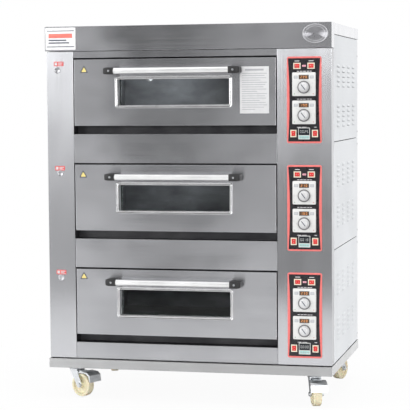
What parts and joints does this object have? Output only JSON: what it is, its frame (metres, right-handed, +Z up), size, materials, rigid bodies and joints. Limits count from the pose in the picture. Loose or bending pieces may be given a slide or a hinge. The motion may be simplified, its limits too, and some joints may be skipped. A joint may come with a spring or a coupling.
{
  "type": "deck oven",
  "caption": "Free-standing electric deck oven: stacked baking chambers with drop-down glazed doors, a control column on the right and swivel castors.",
  "frame": {"origin": "on the floor under the middle of the overall box", "axes": "+Z up; the doors face -Y; +X is to the right of someone facing the doors"},
  "size_m": [1.22, 0.815, 1.58],
  "materials": {
    "brushed_stainless": "vertical brushed stainless sheet",
    "satin_stainless": "fine satin stainless sheet",
    "galvanised_frame": "brushed stainless plinth and zinc frame",
    "chamber_steel": "heat-tinted aluminised steel",
    "liner_steel": "bright rolled stainless",
    "hearth_steel": "seasoned dark steel plate",
    "mineral_wool": "matt fibrous block",
    "element_sheath": "dull heat-oxidised tube",
    "lamp_glass": "frosted heat-proof glass",
    "rope_seal": "braided glass-fibre rope",
    "zinc_plate": "bright zinc-plated steel",
    "printed_plate": "gloss black print with a red border",
    "white_plastic": "moulded white plastic",
    "grey_plastic": "moulded dark grey plastic",
    "cream_plastic": "moulded cream plastic",
    "red_plastic": "translucent red plastic",
    "black_plastic": "moulded black plastic",
    "handle_bar_steel": "polished stainless tube",
    "knob_grey": "dark grey skirt with a silver cap",
    "cream_nylon": "cast cream nylon",
    "window_glass": "clear toughened glass"
  },
  "bodies": {
    "oven": {"body_frame": "galvanised_frame", "top_cap": "brushed_stainless", "front_panels": "brushed_stainless", "control_column": "brushed_stainless", "side_panels": "satin_stainless", "back_panel": "satin_stainless", "baking_chambers": "chamber_steel", "hearth_plates": "hearth_steel", "insulation": "mineral_wool", "heating_elements": "element_sheath", "oven_lamps": "lamp_glass", "temperature_probes": "element_sheath", "door_seals": "rope_seal", "door_hinges": "zinc_plate", "control_plates": "printed_plate", "temperature_controllers": "white_plastic", "timers": "grey_plastic", "switch_bezels": "cream_plastic", "electrical_gear": "black_plastic", "castor_plates": "zinc_plate"},
    "door_1": {"door_1_shell": "brushed_stainless", "door_1_liner": "liner_steel", "door_1_glass": "window_glass", "door_1_handle": "handle_bar_steel"},
    "door_2": {"door_2_shell": "brushed_stainless", "door_2_liner": "liner_steel", "door_2_glass": "window_glass", "door_2_handle": "handle_bar_steel"},
    "door_3": {"door_3_shell": "brushed_stainless", "door_3_liner": "liner_steel", "door_3_glass": "window_glass", "door_3_handle": "handle_bar_steel"},
    "top_heat_knob_1": {"top_heat_knob_1": "knob_grey"},
    "bottom_heat_knob_1": {"bottom_heat_knob_1": "knob_grey"},
    "top_heat_knob_2": {"top_heat_knob_2": "knob_grey"},
    "bottom_heat_knob_2": {"bottom_heat_knob_2": "knob_grey"},
    "top_heat_knob_3": {"top_heat_knob_3": "knob_grey"},
    "bottom_heat_knob_3": {"bottom_heat_knob_3": "knob_grey"},
    "light_rocker_1": {"light_rocker_1": "red_plastic"},
    "power_rocker_1": {"power_rocker_1": "red_plastic"},
    "alarm_rocker_1": {"alarm_rocker_1": "red_plastic"},
    "steam_rocker_1": {"steam_rocker_1": "red_plastic"},
    "light_rocker_2": {"light_rocker_2": "red_plastic"},
    "power_rocker_2": {"power_rocker_2": "red_plastic"},
    "alarm_rocker_2": {"alarm_rocker_2": "red_plastic"},
    "steam_rocker_2": {"steam_rocker_2": "red_plastic"},
    "light_rocker_3": {"light_rocker_3": "red_plastic"},
    "power_rocker_3": {"power_rocker_3": "red_plastic"},
    "alarm_rocker_3": {"alarm_rocker_3": "red_plastic"},
    "steam_rocker_3": {"steam_rocker_3": "red_plastic"},
    "castor_fork_front_left": {"castor_fork_front_left": "zinc_plate"},
    "castor_wheel_front_left": {"castor_wheel_front_left": "cream_nylon"},
    "brake_pedal_front_left": {"brake_pedal_front_left": "zinc_plate"},
    "castor_fork_front_right": {"castor_fork_front_right": "zinc_plate"},
    "castor_wheel_front_right": {"castor_wheel_front_right": "cream_nylon"},
    "brake_pedal_front_right": {"brake_pedal_front_right": "zinc_plate"},
    "castor_fork_rear_left": {"castor_fork_rear_left": "zinc_plate"},
    "castor_wheel_rear_left": {"castor_wheel_rear_left": "cream_nylon"},
    "castor_fork_rear_right": {"castor_fork_rear_right": "zinc_plate"},
    "castor_wheel_rear_right": {"castor_wheel_rear_right": "cream_nylon"}
  },
  "joints": [
    {"name": "door_1_hinge", "type": "hinge", "parent": "oven", "child": "door_1", "pos_m": [-0.0535, -0.3115, 1.175], "axis": [1, 0, 0], "range_deg": [0, 90]},
    {"name": "door_2_hinge", "type": "hinge", "parent": "oven", "child": "door_2", "pos_m": [-0.0535, -0.3115, 0.7335], "axis": [1, 0, 0], "range_deg": [0, 90]},
    {"name": "door_3_hinge", "type": "hinge", "parent": "oven", "child": "door_3", "pos_m": [-0.0535, -0.3115, 0.292], "axis": [1, 0, 0], "range_deg": [0, 90]},
    {"name": "top_heat_knob_1_turn", "type": "hinge", "parent": "oven", "child": "top_heat_knob_1", "pos_m": [0.495, -0.3565, 1.3175], "axis": [0, 1, 0], "range_deg": [-135, 135]},
    {"name": "bottom_heat_knob_1_turn", "type": "hinge", "parent": "oven", "child": "bottom_heat_knob_1", "pos_m": [0.495, -0.3565, 1.2035], "axis": [0, 1, 0], "range_deg": [-135, 135]},
    {"name": "top_heat_knob_2_turn", "type": "hinge", "parent": "oven", "child": "top_heat_knob_2", "pos_m": [0.495, -0.3565, 0.876], "axis": [0, 1, 0], "range_deg": [-135, 135]},
    {"name": "bottom_heat_knob_2_turn", "type": "hinge", "parent": "oven", "child": "bottom_heat_knob_2", "pos_m": [0.495, -0.3565, 0.762], "axis": [0, 1, 0], "range_deg": [-135, 135]},
    {"name": "top_heat_knob_3_turn", "type": "hinge", "parent": "oven", "child": "top_heat_knob_3", "pos_m": [0.495, -0.3565, 0.4345], "axis": [0, 1, 0], "range_deg": [-135, 135]},
    {"name": "bottom_heat_knob_3_turn", "type": "hinge", "parent": "oven", "child": "bottom_heat_knob_3", "pos_m": [0.495, -0.3565, 0.3205], "axis": [0, 1, 0], "range_deg": [-135, 135]},
    {"name": "light_rocker_1_tilt", "type": "hinge", "parent": "oven", "child": "light_rocker_1", "pos_m": [0.466, -0.347, 1.404], "axis": [0, 0, 1], "range_deg": [-16, 0]},
    {"name": "power_rocker_1_tilt", "type": "hinge", "parent": "oven", "child": "power_rocker_1", "pos_m": [0.524, -0.347, 1.404], "axis": [0, 0, 1], "range_deg": [-16, 0]},
    {"name": "alarm_rocker_1_tilt", "type": "hinge", "parent": "oven", "child": "alarm_rocker_1", "pos_m": [0.4505, -0.347, 1.1295], "axis": [1, 0, 0], "range_deg": [-16, 0]},
    {"name": "steam_rocker_1_tilt", "type": "hinge", "parent": "oven", "child": "steam_rocker_1", "pos_m": [0.5395, -0.347, 1.1295], "axis": [1, 0, 0], "range_deg": [-16, 0]},
    {"name": "light_rocker_2_tilt", "type": "hinge", "parent": "oven", "child": "light_rocker_2", "pos_m": [0.466, -0.347, 0.9625], "axis": [0, 0, 1], "range_deg": [-16, 0]},
    {"name": "power_rocker_2_tilt", "type": "hinge", "parent": "oven", "child": "power_rocker_2", "pos_m": [0.524, -0.347, 0.9625], "axis": [0, 0, 1], "range_deg": [-16, 0]},
    {"name": "alarm_rocker_2_tilt", "type": "hinge", "parent": "oven", "child": "alarm_rocker_2", "pos_m": [0.4505, -0.347, 0.688], "axis": [1, 0, 0], "range_deg": [-16, 0]},
    {"name": "steam_rocker_2_tilt", "type": "hinge", "parent": "oven", "child": "steam_rocker_2", "pos_m": [0.5395, -0.347, 0.688], "axis": [1, 0, 0], "range_deg": [-16, 0]},
    {"name": "light_rocker_3_tilt", "type": "hinge", "parent": "oven", "child": "light_rocker_3", "pos_m": [0.466, -0.347, 0.521], "axis": [0, 0, 1], "range_deg": [-16, 0]},
    {"name": "power_rocker_3_tilt", "type": "hinge", "parent": "oven", "child": "power_rocker_3", "pos_m": [0.524, -0.347, 0.521], "axis": [0, 0, 1], "range_deg": [-16, 0]},
    {"name": "alarm_rocker_3_tilt", "type": "hinge", "parent": "oven", "child": "alarm_rocker_3", "pos_m": [0.4505, -0.347, 0.2465], "axis": [1, 0, 0], "range_deg": [-16, 0]},
    {"name": "steam_rocker_3_tilt", "type": "hinge", "parent": "oven", "child": "steam_rocker_3", "pos_m": [0.5395, -0.347, 0.2465], "axis": [1, 0, 0], "range_deg": [-16, 0]},
    {"name": "swivel_front_left", "type": "hinge", "parent": "oven", "child": "castor_fork_front_left", "pos_m": [-0.52, -0.2625, 0.117], "axis": [0, 0, 1], "continuous": true},
    {"name": "wheel_front_left_roll", "type": "hinge", "parent": "castor_fork_front_left", "child": "castor_wheel_front_left", "pos_m": [-0.48556, -0.27856, 0.05], "axis": [0.4226, 0.9063, 0], "continuous": true},
    {"name": "brake_pedal_front_left_press", "type": "hinge", "parent": "castor_fork_front_left", "child": "brake_pedal_front_left", "pos_m": [-0.5055, -0.26926, 0.107], "axis": [0.4226, 0.9063, 0], "range_deg": [-10, 0]},
    {"name": "swivel_front_right", "type": "hinge", "parent": "oven", "child": "castor_fork_front_right", "pos_m": [0.52, -0.2625, 0.117], "axis": [0, 0, 1], "continuous": true},
    {"name": "wheel_front_right_roll", "type": "hinge", "parent": "castor_fork_front_right", "child": "castor_wheel_front_right", "pos_m": [0.533, -0.29821, 0.05], "axis": [0.9397, 0.342, 0], "continuous": true},
    {"name": "brake_pedal_front_right_press", "type": "hinge", "parent": "castor_fork_front_right", "child": "brake_pedal_front_right", "pos_m": [0.52547, -0.27753, 0.107], "axis": [0.9397, 0.342, 0], "range_deg": [-10, 0]},
    {"name": "swivel_rear_left", "type": "hinge", "parent": "oven", "child": "castor_fork_rear_left", "pos_m": [-0.52, 0.3125, 0.117], "axis": [0, 0, 1], "continuous": true},
    {"name": "wheel_rear_left_roll", "type": "hinge", "parent": "castor_fork_rear_left", "child": "castor_wheel_rear_left", "pos_m": [-0.533, 0.34821, 0.05], "axis": [-0.9397, -0.342, 0], "continuous": true},
    {"name": "swivel_rear_right", "type": "hinge", "parent": "oven", "child": "castor_fork_rear_right", "pos_m": [0.52, 0.3125, 0.117], "axis": [0, 0, 1], "continuous": true},
    {"name": "wheel_rear_right_roll", "type": "hinge", "parent": "castor_fork_rear_right", "child": "castor_wheel_rear_right", "pos_m": [0.533, 0.34821, 0.05], "axis": [-0.9397, 0.342, 0], "continuous": true}
  ]
}
